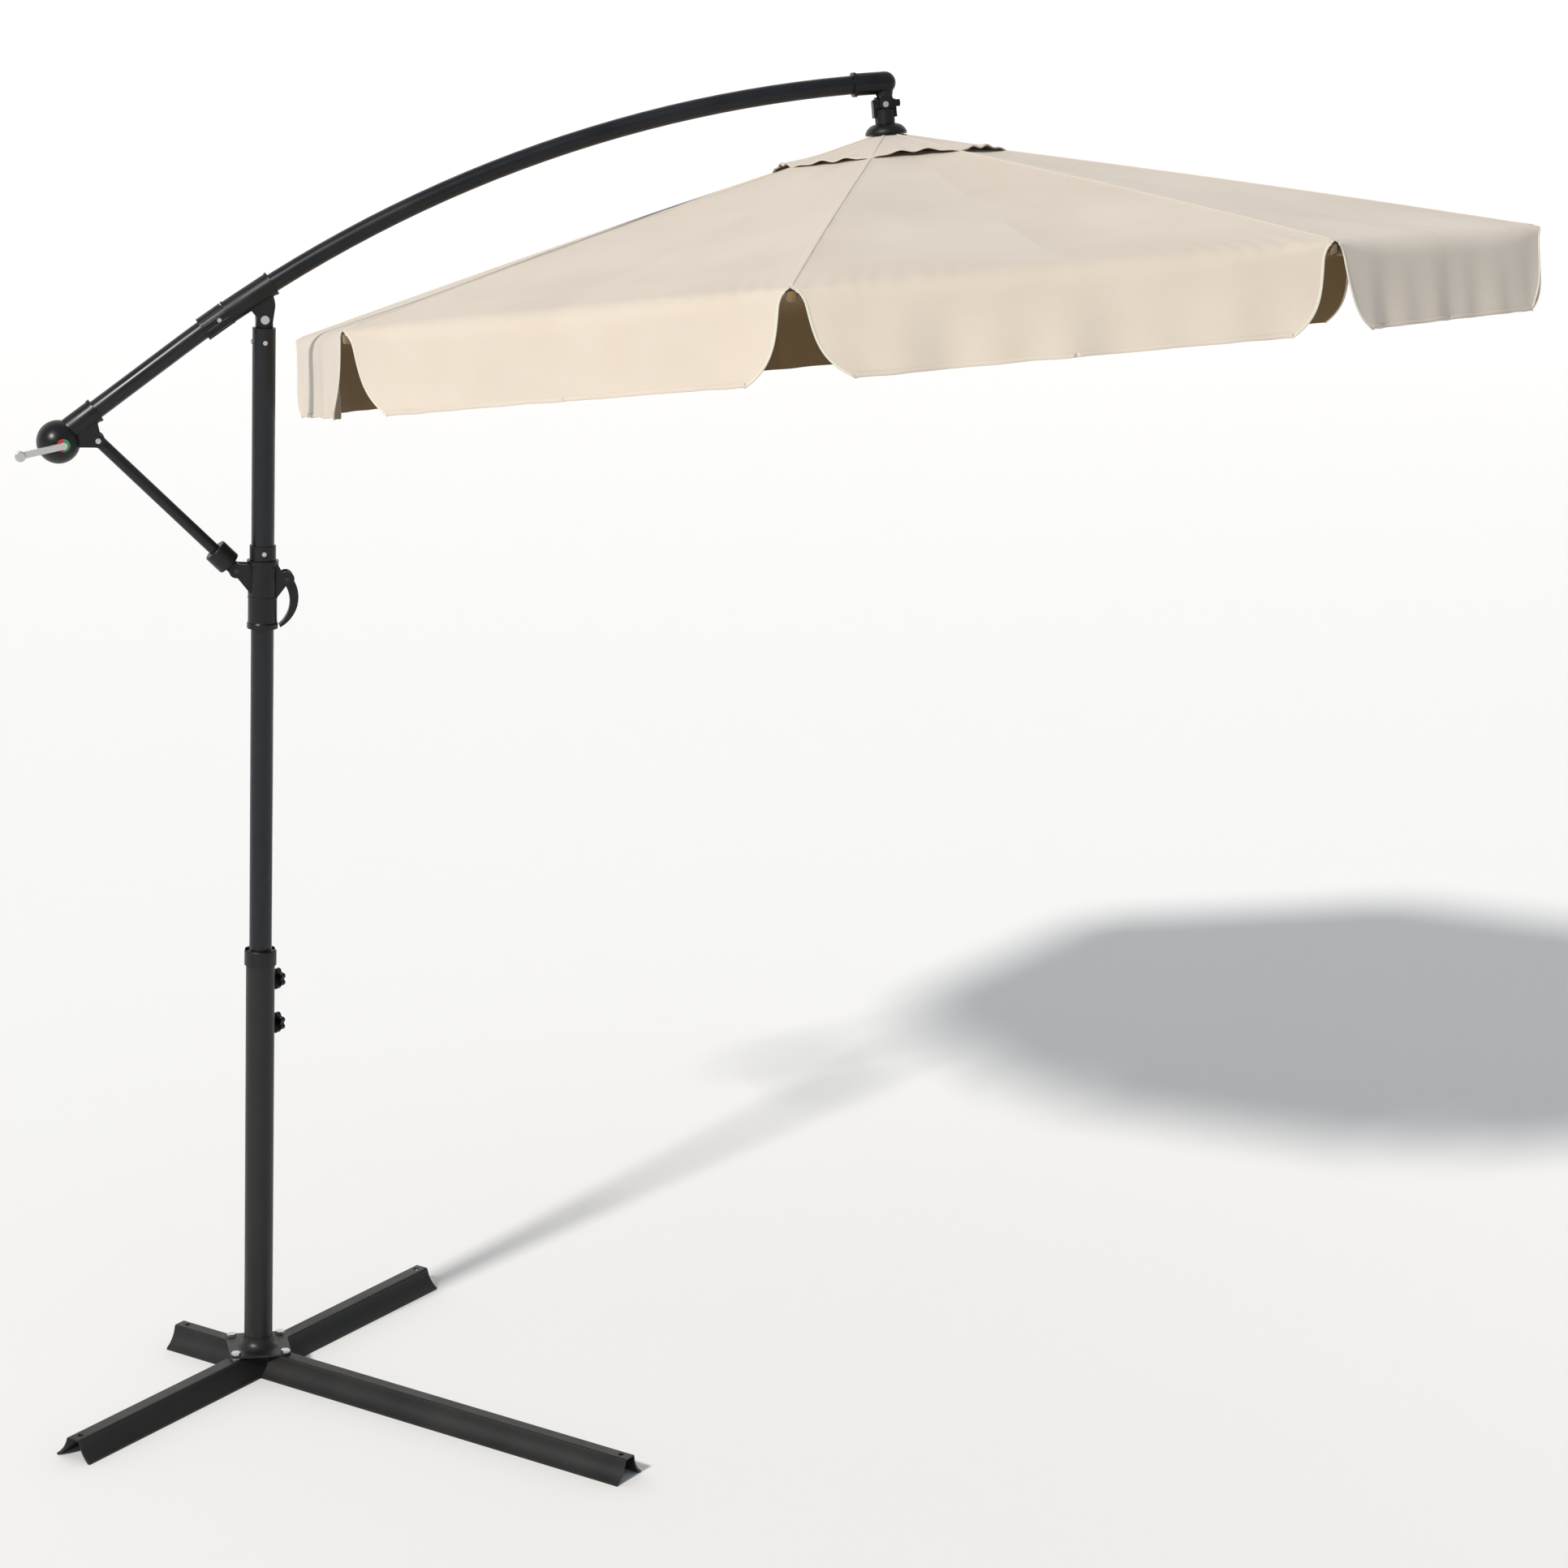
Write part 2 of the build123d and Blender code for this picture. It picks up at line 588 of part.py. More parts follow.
with BuildPart() as arm_screws:
    rod((LUG_X, -16.4, LUG_Z), (LUG_X, 16.4, LUG_Z), 4)
    for y in (-18.5, 16.0):
        rod((LUG_X, y, LUG_Z), (LUG_X, y + 2.5, LUG_Z), 5)
    rod((HEAD_X, -14, HEAD_Z), (HEAD_X, 14, HEAD_Z), 4)
    for y in (-16.2, 13.2):
        rod((HEAD_X, y, HEAD_Z), (HEAD_X, y + 3, HEAD_Z), 5.5)
    rod((-84, -23.2, 2072.5), (-84, -18.2, 2072.5), 2.0)
    rod((-84, -23.9, 2072.5), (-84, -21.6, 2072.5), 4.0)
save(arm_screws, "arm_screws")

with BuildPart() as elbow:
    elbow_from = arc_point(1100)
    elbow_to = arc_point(HEAD_X)
    elbow_way = (elbow_to - elbow_from).normalized()
    rod(elbow_from, elbow_to, 21)
    rod(elbow_from, elbow_from + elbow_way * 7, 23)
    with Locations(elbow_to):
        Sphere(21)
    rod((HEAD_X, 0, HEAD_Z + 14), elbow_to, 16.5)
    with BuildSketch(side_plane(13)) as fork:
        with Locations((HEAD_X, HEAD_Z)):
            Circle(11)
        with Locations((HEAD_X, HEAD_Z + 10)):
            Rectangle(22, 20)
    extrude(fork.sketch, amount=26)
    with BuildSketch(side_plane(8.6)) as gap:
        with Locations((HEAD_X, HEAD_Z)):
            Circle(25.4)
    extrude(gap.sketch, amount=17.2, mode=Mode.SUBTRACT)
    bend(1090, ARM_TIP_X, ARM_R, mode=Mode.SUBTRACT)
    rod((HEAD_X, -20, HEAD_Z), (HEAD_X, 20, HEAD_Z), 4, Mode.SUBTRACT)
save(elbow, "elbow")

with BuildPart() as crank_dial:
    rod((CRANK_X, -47.5, BALL_Z), (CRANK_X, -42.2, BALL_Z), 12)
    rod((CRANK_X, -42.5, BALL_Z), (CRANK_X, -20, BALL_Z), 5)
save(crank_dial, "crank_dial")

with BuildPart() as crank_handle:
    handle_way = Vector(-80, 0, -19).normalized()
    tip = Vector(CRANK_X, 0, BALL_Z) + handle_way * CRANK_REACH
    with BuildSketch(side_plane(-47.5)) as blade:
        with Locations(Location(((CRANK_X + tip.X) / 2, (BALL_Z + tip.Z) / 2), 13.4)):
            SlotOverall(CRANK_REACH + 13, 12)
    extrude(blade.sketch, amount=6)
    rod(tip - Vector(0, 53.4, 0), tip - Vector(0, 60, 0), 10)
    fillet(crank_handle.edges().group_by(Axis.Y)[0], 2)
    rod((CRANK_X, -55, BALL_Z), (CRANK_X, -53, BALL_Z), 7)
save(crank_handle, "crank_handle")

def place(builder, frame, name):
    """Move a piece laid out at the origin into its frame, label it and write it."""
    moved = frame.location * builder.part
    moved.label = name
    export_step(moved, f"parts/{name}.step")


def disc(z_low, z_high, radius, mode=Mode.ADD):
    """Round disc about the head's own axis."""
    with BuildSketch(Plane.XY.offset(z_low)) as circle:
        Circle(radius)
    extrude(circle.sketch, amount=z_high - z_low, mode=mode)


# canopy head: these pieces are laid out about the head's centre and then placed
with BuildPart() as tilt_knuckle:
    with BuildSketch(Plane.YZ.offset(-17)) as drum:
        Circle(12.4)
        Rectangle(16.6, 30, mode=Mode.INTERSECT)
    extrude(drum.sketch, amount=34)
    rod((0, -20, 0), (0, 20, 0), 4 + FIT, Mode.SUBTRACT)
    rod((5, 0, 0), (20, 0, 0), 3 + FIT, Mode.SUBTRACT)
    rod((-20, 0, 0), (-9, 0, 0), 4 + FIT, Mode.SUBTRACT)
place(tilt_knuckle, KNUCKLE, "tilt_knuckle")

with BuildPart() as tilt_knob:
    with BuildSketch(Plane.YZ.offset(23)) as outline:
        Circle(5.8)
        with PolarLocations(5.2, 6):
            Circle(1.9)
    extrude(outline.sketch, amount=8)
    rod((7.5, 0, 0), (23, 0, 0), 3)
place(tilt_knob, KNUCKLE, "tilt_knob")

with BuildPart() as hub_stem:
    disc(-38, -12, 18.75)
    for side in (-1, 1):
        with BuildSketch(Plane.YZ.offset(side * 19.9 - 2.5)) as cheek:
            Circle(8)
            with Locations((0, -13)):
                Rectangle(16, 26)
            if side > 0:
                Circle(3 + FIT, mode=Mode.SUBTRACT)
        extrude(cheek.sketch, amount=5)
    with Locations((0, 0, 0)):
        Sphere(17.7, mode=Mode.SUBTRACT)
    rod((-17.35, 0, 0), (17.35, 0, 0), 12.8, Mode.SUBTRACT)
    disc(-40, -22, POLE_R, Mode.SUBTRACT)
    rod((12, 0, 0), (34, 0, 0), 3 + FIT, Mode.SUBTRACT)
    rod((-20, 0, 0), (-10, 0, 0), 4)
    for turn in range(4):
        way = Vector(1, 0, 0).rotate(Axis.Z, 45 + 90 * turn)
        spot = Vector(0, 0, -30)
        rod(spot + way * 17, spot + way * 19.4, 3)
place(hub_stem, STEM, "hub_stem")

with BuildPart() as canopy_pole:
    disc(POLE_END, -22, POLE_R)
    fillet(canopy_pole.edges().group_by(Axis.Z)[0], 5)
    disc(POLE_END + 6, -20, POLE_R - 1.6, Mode.SUBTRACT)
place(canopy_pole, HEAD, "canopy_pole")

with BuildPart() as dome_cap:
    with BuildSketch(Plane.XZ) as dome:
        with BuildLine():
            Line((POLE_R, -38), (19, -38))
            ThreePointArc((19, -38), (32.5, -43.5), (39.5, -54))
            Line((39.5, -54), (39.5, -58))
            Line((39.5, -58), (POLE_R, -56.5))
            Line((POLE_R, -56.5), (POLE_R, -38))
        make_face()
    revolve(dome.sketch, axis=Axis.Z)
place(dome_cap, HEAD, "dome_cap")

RISE = tan(radians(RIB_SLOPE))
HALF = radians(180 / SIDES)


def pyramid(apex, radius, inner, mode=Mode.ADD):
    """Low octagonal pyramid, cut flat at a small inner radius."""
    with BuildSketch(Plane.XY.offset(apex - radius * RISE)) as low:
        RegularPolygon(radius, SIDES, rotation=FIRST_CORNER)
    with BuildSketch(Plane.XY.offset(apex - inner * RISE)) as top:
        RegularPolygon(inner, SIDES, rotation=FIRST_CORNER)
    loft([low.sketch, top.sketch], ruled=True, mode=mode)


with BuildPart() as vent_cap:
    pyramid(-53.0, VENT_R, 15)
    pyramid(-54.2, VENT_R + 5, 10, Mode.SUBTRACT)
    disc(-150, -20, 20.0, Mode.SUBTRACT)
place(vent_cap, HEAD, "vent_cap")


def corner_way(k):
    """Outward direction of one canopy corner in the head's plane."""
    return Vector(1, 0, 0).rotate(Axis.Z, FIRST_CORNER + 360 / SIDES * k)


with BuildPart() as crown:
    disc(-92, -66, 38)
    disc(-100, -50, POLE_R, Mode.SUBTRACT)
    for k in range(SIDES):
        way = corner_way(k)
        with BuildSketch(Plane(origin=(0, 0, -100), x_dir=way, z_dir=(0, 0, 1))) as slot:
            with Locations((32.5, 0)):
                Rectangle(20, RIB_WIDE + 0.6)
        extrude(slot.sketch, amount=60, mode=Mode.SUBTRACT)
        side = way.cross(Vector(0, 0, 1))
        pin = way * RIB_PIVOT_R + Vector(0, 0, RIB_PIVOT_Z)
        rod(pin - side * 6.5, pin + side * 6.5, 2)
place(crown, HEAD, "crown")

with BuildPart() as runner:
    disc(RUNNER_Z - 24, RUNNER_Z + 20, 38)
    disc(RUNNER_Z - 34, RUNNER_Z - 20, 30)
    for k in range(SIDES):
        way = corner_way(k)
        with BuildSketch(Plane(origin=(0, 0, RUNNER_Z - 50), x_dir=way, z_dir=(0, 0, 1))) as slot:
            with Locations((34, 0)):
                Rectangle(19, 9)
        extrude(slot.sketch, amount=100, mode=Mode.SUBTRACT)
    disc(RUNNER_Z - 60, RUNNER_Z + 60, POLE_R + 0.1, Mode.SUBTRACT)
place(runner, HEAD, "runner")


def rib_frame(k, drop=RIB_SLOPE):
    """Frame of one rib at its pivot: x along the rib, z up out of it."""
    way = corner_way(k)
    pivot = way * RIB_PIVOT_R + Vector(0, 0, RIB_PIVOT_Z)
    along = way * cos(radians(drop)) - Vector(0, 0, sin(radians(drop)))
    up = way * sin(radians(drop)) + Vector(0, 0, cos(radians(drop)))
    return Plane(origin=pivot, x_dir=along, z_dir=up)


RIB_LONG = (RIB_END_R - RIB_PIVOT_R) / cos(radians(RIB_SLOPE))
STAY_TOP_R = RIB_PIVOT_R + STAY_AT * cos(radians(RIB_SLOPE)) - STAY_DROP * sin(radians(RIB_SLOPE))
STAY_TOP_Z = RIB_PIVOT_Z - STAY_AT * sin(radians(RIB_SLOPE)) - STAY_DROP * cos(radians(RIB_SLOPE))

for k in range(SIDES):
    frame = HEAD.location * rib_frame(k).location
    with BuildPart() as rib:
        with BuildSketch(Plane.YZ.offset(12)) as section:
            RectangleRounded(RIB_WIDE, RIB_TALL, 3)
            RectangleRounded(RIB_WIDE - 2, RIB_TALL - 2, 2, mode=Mode.SUBTRACT)
        extrude(section.sketch, amount=RIB_LONG - 12)
        with BuildSketch(Plane.XZ.offset(-RIB_WIDE / 2)) as root:
            Circle(6)
            with Locations((7.5, 0)):
                Rectangle(15, 12)
        extrude(root.sketch, amount=RIB_WIDE)
        with BuildSketch(Plane.YZ.offset(RIB_LONG)) as tip:
            RectangleRounded(RIB_WIDE, RIB_TALL, 3)
        extrude(tip.sketch, amount=4)
        for y in (-RIB_WIDE / 2, RIB_WIDE / 2 - 2):
            with BuildSketch(Plane.XZ.offset(-y - 2)) as lug:
                with Locations((STAY_AT, -STAY_DROP)):
                    Circle(6)
                with Locations((STAY_AT, -11.9)):
                    Rectangle(22, 8.2)
            extrude(lug.sketch, amount=2)
        rod((0, -10, 0), (0, 10, 0), 2 + FIT, Mode.SUBTRACT)
        rod((STAY_AT, -3.5, -STAY_DROP), (STAY_AT, 3.5, -STAY_DROP), 2)
    moved = frame * rib.part
    moved.label = f"rib_{k + 1}"
    export_step(moved, f"parts/rib_{k + 1}.step")

    way = corner_way(k)
    top = way * STAY_TOP_R + Vector(0, 0, STAY_TOP_Z)
    foot = way * RIB_PIVOT_R + Vector(0, 0, RUNNER_Z)
    down = (foot - top).normalized()
    side = way.cross(Vector(0, 0, 1))
    lay = Plane(origin=top, x_dir=down, z_dir=side)
    with BuildPart() as stay:
        with BuildSketch(Plane.XY.offset(-2.7)) as blade:
            with Locations((STAY_LENGTH / 2, 0)):
                SlotCenterToCenter(STAY_LENGTH, 10)
        extrude(blade.sketch, amount=5.4)
        for x, radius in ((0, 2 + FIT), (STAY_LENGTH, 2 + FIT)):
            rod((x, 0, -5), (x, 0, 5), radius, Mode.SUBTRACT)
    moved = HEAD.location * lay.location * stay.part
    moved.label = f"stay_{k + 1}"
    export_step(moved, f"parts/stay_{k + 1}.step")

INSET = 1.2
RIM_Z = APEX - RIM_R * RISE
FLAT_R = RIM_R * cos(HALF)
GORE_DROP = APEX - RIM_Z
GORE_LONG = hypot(FLAT_R, GORE_DROP)
HALF_RIM = RIM_R * sin(HALF)
for k in range(SIDES):
    middle = Vector(1, 0, 0).rotate(Axis.Z, FIRST_CORNER + 360 / SIDES * (k + 0.5))
    across = Vector(0, 0, 1).cross(middle)
    down_slope = (middle * FLAT_R - Vector(0, 0, GORE_DROP)).normalized()
    gore_plane = Plane(origin=(0, 0, APEX), x_dir=down_slope, z_dir=down_slope.cross(across))
    start = VENT_OPENING * cos(HALF) * GORE_LONG / FLAT_R
    with BuildPart() as panel:
        with BuildSketch(gore_plane) as gore:
            wide_in = HALF_RIM * start / GORE_LONG - INSET
            wide_out = HALF_RIM - INSET
            corners = ((start, -wide_in), (GORE_LONG, -wide_out), (GORE_LONG, wide_out), (start, wide_in))
            Polygon(*corners, align=None)
        extrude(gore.sketch, amount=-CLOTH)
        rim = middle * FLAT_R + Vector(0, 0, RIM_Z)
        with BuildSketch(Plane(origin=rim, x_dir=across, z_dir=middle)) as skirt:
            with BuildLine():
                low = -VALANCE
                edge = HALF_RIM - INSET
                foot_edge = edge - SLIT_CURVE
                Line((-edge, -0.2), (edge, -0.2))
                Spline((edge, -0.2), (edge - 10, low * 0.5), (foot_edge, low))
                Line((foot_edge, low), (-foot_edge, low))
                Spline((-foot_edge, low), (-edge + 10, low * 0.5), (-edge, -0.2))
            make_face()
        extrude(skirt.sketch, amount=-CLOTH)
    moved = HEAD.location * panel.part
    moved.label = f"canopy_panel_{k + 1}"
    export_step(moved, f"parts/canopy_panel_{k + 1}.step")
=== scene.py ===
"""Looks of the cantilever parasol: cloth canopy, hems, stitching, finishes, studio and camera."""

import json
from math import cos, exp, pi, radians, sin, sqrt, tan

import bmesh
import bpy
from mathutils import Matrix, Vector, noise


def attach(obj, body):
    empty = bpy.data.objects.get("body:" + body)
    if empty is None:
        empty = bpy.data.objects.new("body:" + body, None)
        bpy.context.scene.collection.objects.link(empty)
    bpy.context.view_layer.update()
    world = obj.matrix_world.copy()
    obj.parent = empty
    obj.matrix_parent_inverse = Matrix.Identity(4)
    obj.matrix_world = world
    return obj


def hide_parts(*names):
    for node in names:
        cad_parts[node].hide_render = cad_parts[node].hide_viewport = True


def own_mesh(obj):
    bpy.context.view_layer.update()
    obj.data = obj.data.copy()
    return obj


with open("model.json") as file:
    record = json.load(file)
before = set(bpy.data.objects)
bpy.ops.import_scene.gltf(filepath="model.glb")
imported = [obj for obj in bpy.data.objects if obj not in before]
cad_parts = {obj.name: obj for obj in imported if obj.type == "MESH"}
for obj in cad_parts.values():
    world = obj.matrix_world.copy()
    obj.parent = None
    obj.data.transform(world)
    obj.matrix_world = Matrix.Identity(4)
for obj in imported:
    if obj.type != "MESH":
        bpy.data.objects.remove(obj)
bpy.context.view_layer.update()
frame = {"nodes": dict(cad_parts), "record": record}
NODES = frame["nodes"]

# ---------------------------------------------------------------- canopy, in millimetres
HEAD = Vector((1163.0, 0.0, 2492.0))
SWING = radians(-5.531)
TILT = radians(-8.511)
TWIST = radians(-0.819)
SIDES = 8
HALF = pi / SIDES
FIRST = radians(22.5)
RIM = 1200.0
APEX = -58.0
RISE = tan(radians(13.3))
OPENING = 150.0
VALANCE = 150.0
SKIRT_ROWS = 24
FOLD_TIGHT = 7.0
FOLD_SOFT = 30.0
VENT = 225.0
ROOF_SAG = 11.0
ROOF_CROWN = 4.0
SEAM_HALF = 9.0
SEAM_RISE = 0.9
TAPE_WIDE = 6.0
VENT_HOLE = 22.0
VENT_LIFT = 5.0
VENT_STEPS = 12
SEAM_STEPS = 40
POCKET_DROP = 14.0
POCKET_ROUND = 0.7
POCKET_TOP = 7.5
# radius from the canopy's axis, half width and half height along a rib pocket
POCKET_STATIONS = (
    (1128, 13.0, 15.0),
    (1140, 12.0, 12.5),
    (1165, 11.0, 12.0),
    (1186, 9.5, 11.5),
    (1194, 6.0, 9.0),
)

# ---------------------------------------------------------------- cloth and crank, in metres
CLOTH_THICK = 0.0011
CRANK_X = -0.367

# ---------------------------------------------------------------- light and gloss
FRAME_GLOSS = 0.36
SUN_WAY = radians(224)
SUN_RISE = radians(36)
SUN_STRENGTH = 3.1
SKY = (0.86, 0.93, 1.0)
SKY_STRENGTH = 0.42

swing_x = Vector((cos(SWING), 0, -sin(SWING)))
swing_z = Vector((sin(SWING), 0, cos(SWING)))
UP = swing_z * cos(TILT) - Vector((0, 1, 0)) * sin(TILT)
tilted_y = swing_z * sin(TILT) + Vector((0, 1, 0)) * cos(TILT)
OUT = swing_x * cos(TWIST) + tilted_y * sin(TWIST)
SIDE = UP.cross(OUT)


def head(x, y, z):
    """World point in metres of a canopy point in millimetres."""
    return (HEAD + OUT * x + SIDE * y + UP * z) / 1000


def way(azimuth):
    """Outward direction in the canopy's plane, as canopy coordinates."""
    return Vector((cos(azimuth), sin(azimuth), 0))


def corner_azimuth(k):
    return FIRST + 2 * HALF * k


# ---------------------------------------------------------------- materials
def shader(name, color, roughness, metallic=0.0, **sockets):
    """New material with a principled shader; returns the material, its tree and the shader."""
    material = bpy.data.materials.new(name)
    material.use_nodes = True
    tree = material.node_tree
    principled = tree.nodes["Principled BSDF"]
    principled.inputs["Base Color"].default_value = (*color, 1)
    principled.inputs["Roughness"].default_value = roughness
    principled.inputs["Metallic"].default_value = metallic
    for key, value in sockets.items():
        principled.inputs[key.replace("_", " ")].default_value = value
    return material, tree, principled


def node(tree, kind, **settings):
    """New node in a material's tree, with its settings."""
    made = tree.nodes.new(kind)
    for key, value in settings.items():
        setattr(made, key, value)
    return made


def noise_node(tree, scale, detail=4.0, source="Object"):
    """Noise texture in the row frame, where scale is in cycles per metre."""
    place = node(tree, "ShaderNodeTexCoord")
    texture = node(tree, "ShaderNodeTexNoise")
    texture.inputs["Scale"].default_value = scale
    texture.inputs["Detail"].default_value = detail
    tree.links.new(place.outputs[source], texture.inputs["Vector"])
    return texture


def bump(tree, principled, height, strength, distance, below=None):
    """Bump from a height socket, chained on an earlier bump when one is given."""
    made = node(tree, "ShaderNodeBump")
    made.inputs["Strength"].default_value = strength
    made.inputs["Distance"].default_value = distance
    tree.links.new(height, made.inputs["Height"])
    if below is not None:
        tree.links.new(below.outputs["Normal"], made.inputs["Normal"])
    tree.links.new(made.outputs["Normal"], principled.inputs["Normal"])
    return made


def vary(tree, source, low, high, target):
    """Map a 0-1 value to a range and feed it to a socket."""
    span = node(tree, "ShaderNodeMapRange")
    span.inputs["From Min"].default_value = 0.3
    span.inputs["From Max"].default_value = 0.7
    span.inputs["To Min"].default_value = low
    span.inputs["To Max"].default_value = high
    tree.links.new(source, span.inputs["Value"])
    tree.links.new(span.outputs["Result"], target)


def tint(tree, principled, source, dark, light):
    """Colour that wanders between two tones."""
    ramp = node(tree, "ShaderNodeValToRGB")
    ramp.color_ramp.elements[0].position = 0.3
    ramp.color_ramp.elements[0].color = (*dark, 1)
    ramp.color_ramp.elements[1].position = 0.7
    ramp.color_ramp.elements[1].color = (*light, 1)
    tree.links.new(source, ramp.inputs["Fac"])
    tree.links.new(ramp.outputs["Color"], principled.inputs["Base Color"])
    return ramp


def powder_coat(name, dark, light, roughness, grain, depth):
    """Sprayed powder coat: orange-peel bump, slight gloss changes and dusty tone changes."""
    gloss = {"Specular_IOR_Level": FRAME_GLOSS, "Coat_Weight": 0.04, "Coat_Roughness": 0.2}
    material, tree, principled = shader(name, light, roughness, **gloss)
    peel = noise_node(tree, grain, 2.0)
    wide = noise_node(tree, 7.0, 6.0)
    bump(tree, principled, peel.outputs["Fac"], 0.35, depth)
    vary(tree, wide.outputs["Fac"], roughness - 0.07, roughness + 0.09, principled.inputs["Roughness"])
    tint(tree, principled, wide.outputs["Fac"], dark, light)
    return material


def moulded(name, dark, light, roughness):
    """Glass-filled plastic: fine spark-eroded grain and worn, slightly shinier patches."""
    material, tree, principled = shader(name, light, roughness, Specular_IOR_Level=FRAME_GLOSS)
    grain = noise_node(tree, 1600.0, 2.0)
    wide = noise_node(tree, 22.0, 5.0)
    bump(tree, principled, grain.outputs["Fac"], 0.3, 0.00012)
    vary(tree, wide.outputs["Fac"], roughness - 0.1, roughness + 0.08, principled.inputs["Roughness"])
    tint(tree, principled, wide.outputs["Fac"], dark, light)
    return material


def zinc(name):
    """Zinc-plated steel with a faint spangle and rubbed highlights."""
    material, tree, principled = shader(name, (0.60, 0.60, 0.59), 0.34, 1.0)
    place = node(tree, "ShaderNodeTexCoord")
    spangle = node(tree, "ShaderNodeTexVoronoi")
    spangle.inputs["Scale"].default_value = 1500.0
    tree.links.new(place.outputs["Object"], spangle.inputs["Vector"])
    fine = noise_node(tree, 900.0, 3.0)
    bump(tree, principled, fine.outputs["Fac"], 0.35, 0.00015)
    vary(tree, fine.outputs["Fac"], 0.26, 0.46, principled.inputs["Roughness"])
    tint(tree, principled, spangle.outputs["Distance"], (0.58, 0.58, 0.57), (0.64, 0.64, 0.63))
    return material


def dial_paint(name):
    """Two-colour dial: one half red, one half green."""
    material, tree, principled = shader(name, (0.5, 0.5, 0.5), 0.32)
    place = node(tree, "ShaderNodeTexCoord")
    axes = node(tree, "ShaderNodeSeparateXYZ")
    tree.links.new(place.outputs["Object"], axes.inputs["Vector"])
    side = node(tree, "ShaderNodeMath", operation="GREATER_THAN")
    side.inputs[1].default_value = CRANK_X
    tree.links.new(axes.outputs["X"], side.inputs[0])
    halves = node(tree, "ShaderNodeMixRGB")
    halves.inputs["Color1"].default_value = (0.42, 0.020, 0.018, 1)
    halves.inputs["Color2"].default_value = (0.030, 0.23, 0.055, 1)
    tree.links.new(side.outputs["Value"], halves.inputs["Fac"])
    tree.links.new(halves.outputs["Color"], principled.inputs["Base Color"])
    grain = noise_node(tree, 1200.0)
    bump(tree, principled, grain.outputs["Fac"], 0.2, 0.0001)
    return material


def cloth(name, dark, light, weave_depth=0.00022):
    """Woven polyester: warp and weft from the cloth's own flat coordinates, slubs and soft tone changes."""
    material, tree, principled = shader(name, light, 0.86, Sheen_Weight=0.25, Sheen_Roughness=0.5)
    flat = node(tree, "ShaderNodeTexCoord")
    threads = []
    for turn in (0.0, pi / 2):
        spin = node(tree, "ShaderNodeMapping")
        spin.inputs["Rotation"].default_value = (0, 0, turn)
        tree.links.new(flat.outputs["UV"], spin.inputs["Vector"])
        thread = node(tree, "ShaderNodeTexWave", wave_type="BANDS", bands_direction="X")
        thread.inputs["Scale"].default_value = 210.0
        thread.inputs["Distortion"].default_value = 0.6
        thread.inputs["Detail"].default_value = 1.0
        tree.links.new(spin.outputs["Vector"], thread.inputs["Vector"])
        threads.append(thread)
    weave = node(tree, "ShaderNodeMath", operation="MULTIPLY")
    tree.links.new(threads[0].outputs["Fac"], weave.inputs[0])
    tree.links.new(threads[1].outputs["Fac"], weave.inputs[1])
    slub = noise_node(tree, 60.0, 6.0, "UV")
    first = bump(tree, principled, weave.outputs["Value"], 0.5, weave_depth)
    bump(tree, principled, slub.outputs["Fac"], 0.25, 0.0012, first)
    wide = noise_node(tree, 3.5, 8.0, "UV")
    tint(tree, principled, wide.outputs["Fac"], dark, light)
    return material


def stitched(name, color):
    """Hem and binding tape with a row of stitches along its length."""
    material, tree, principled = shader(name, color, 0.8, Sheen_Weight=0.2)
    flat = node(tree, "ShaderNodeTexCoord")
    thread = node(tree, "ShaderNodeTexWave", wave_type="BANDS", bands_direction="Y")
    thread.inputs["Scale"].default_value = 95.0
    tree.links.new(flat.outputs["UV"], thread.inputs["Vector"])
    rib = noise_node(tree, 700.0, 2.0, "UV")
    first = bump(tree, principled, thread.outputs["Fac"], 0.5, 0.0005)
    bump(tree, principled, rib.outputs["Fac"], 0.3, 0.0003, first)
    tint(tree, principled, rib.outputs["Fac"], tuple(c * 0.86 for c in color), color)
    return material


LOOKS = {
    "powder_black": powder_coat(
        "powder_black", (0.0040, 0.0050, 0.0070), (0.0075, 0.0090, 0.0120), 0.30, 900.0, 0.00010
    ),
    "powder_base": powder_coat(
        "powder_base", (0.0060, 0.0060, 0.0062), (0.0115, 0.0110, 0.0108), 0.44, 620.0, 0.00025
    ),
    "plastic_black": moulded("plastic_black", (0.0030, 0.0031, 0.0037), (0.0065, 0.0067, 0.0075), 0.38),
    "zinc_steel": zinc("zinc_steel"),
    "steel_inside": powder_coat(
        "steel_inside", (0.012, 0.012, 0.013), (0.026, 0.026, 0.027), 0.40, 800.0, 0.00015
    ),
    "dial_plastic": dial_paint("dial_plastic"),
}
CLOTH = cloth("canopy_cloth", (0.590, 0.515, 0.430), (0.650, 0.575, 0.490))
# Painted shade: the canopy's underside is the same cloth as the top, coloured dark brown to stand in for
# the shade under the canopy; it goes on the inner faces of the gores and vent cap and on the rib pockets
UNDERSIDE_SHADE = cloth("canopy_underside_shade", (0.160, 0.098, 0.038), (0.205, 0.132, 0.055))
BINDING = stitched("canopy_binding", (0.70, 0.66, 0.56))


def dress_frame():
    """Give each carried-over CAD node the finish of its slot, where this script has a finish for that slot.
    """
    for part in frame["record"]["subparts"]:
        look = LOOKS.get(part["material_slot"])
        target = NODES[part["node"]]
        if look is None:
            continue
        target.data.materials.clear()
        target.data.materials.append(look)


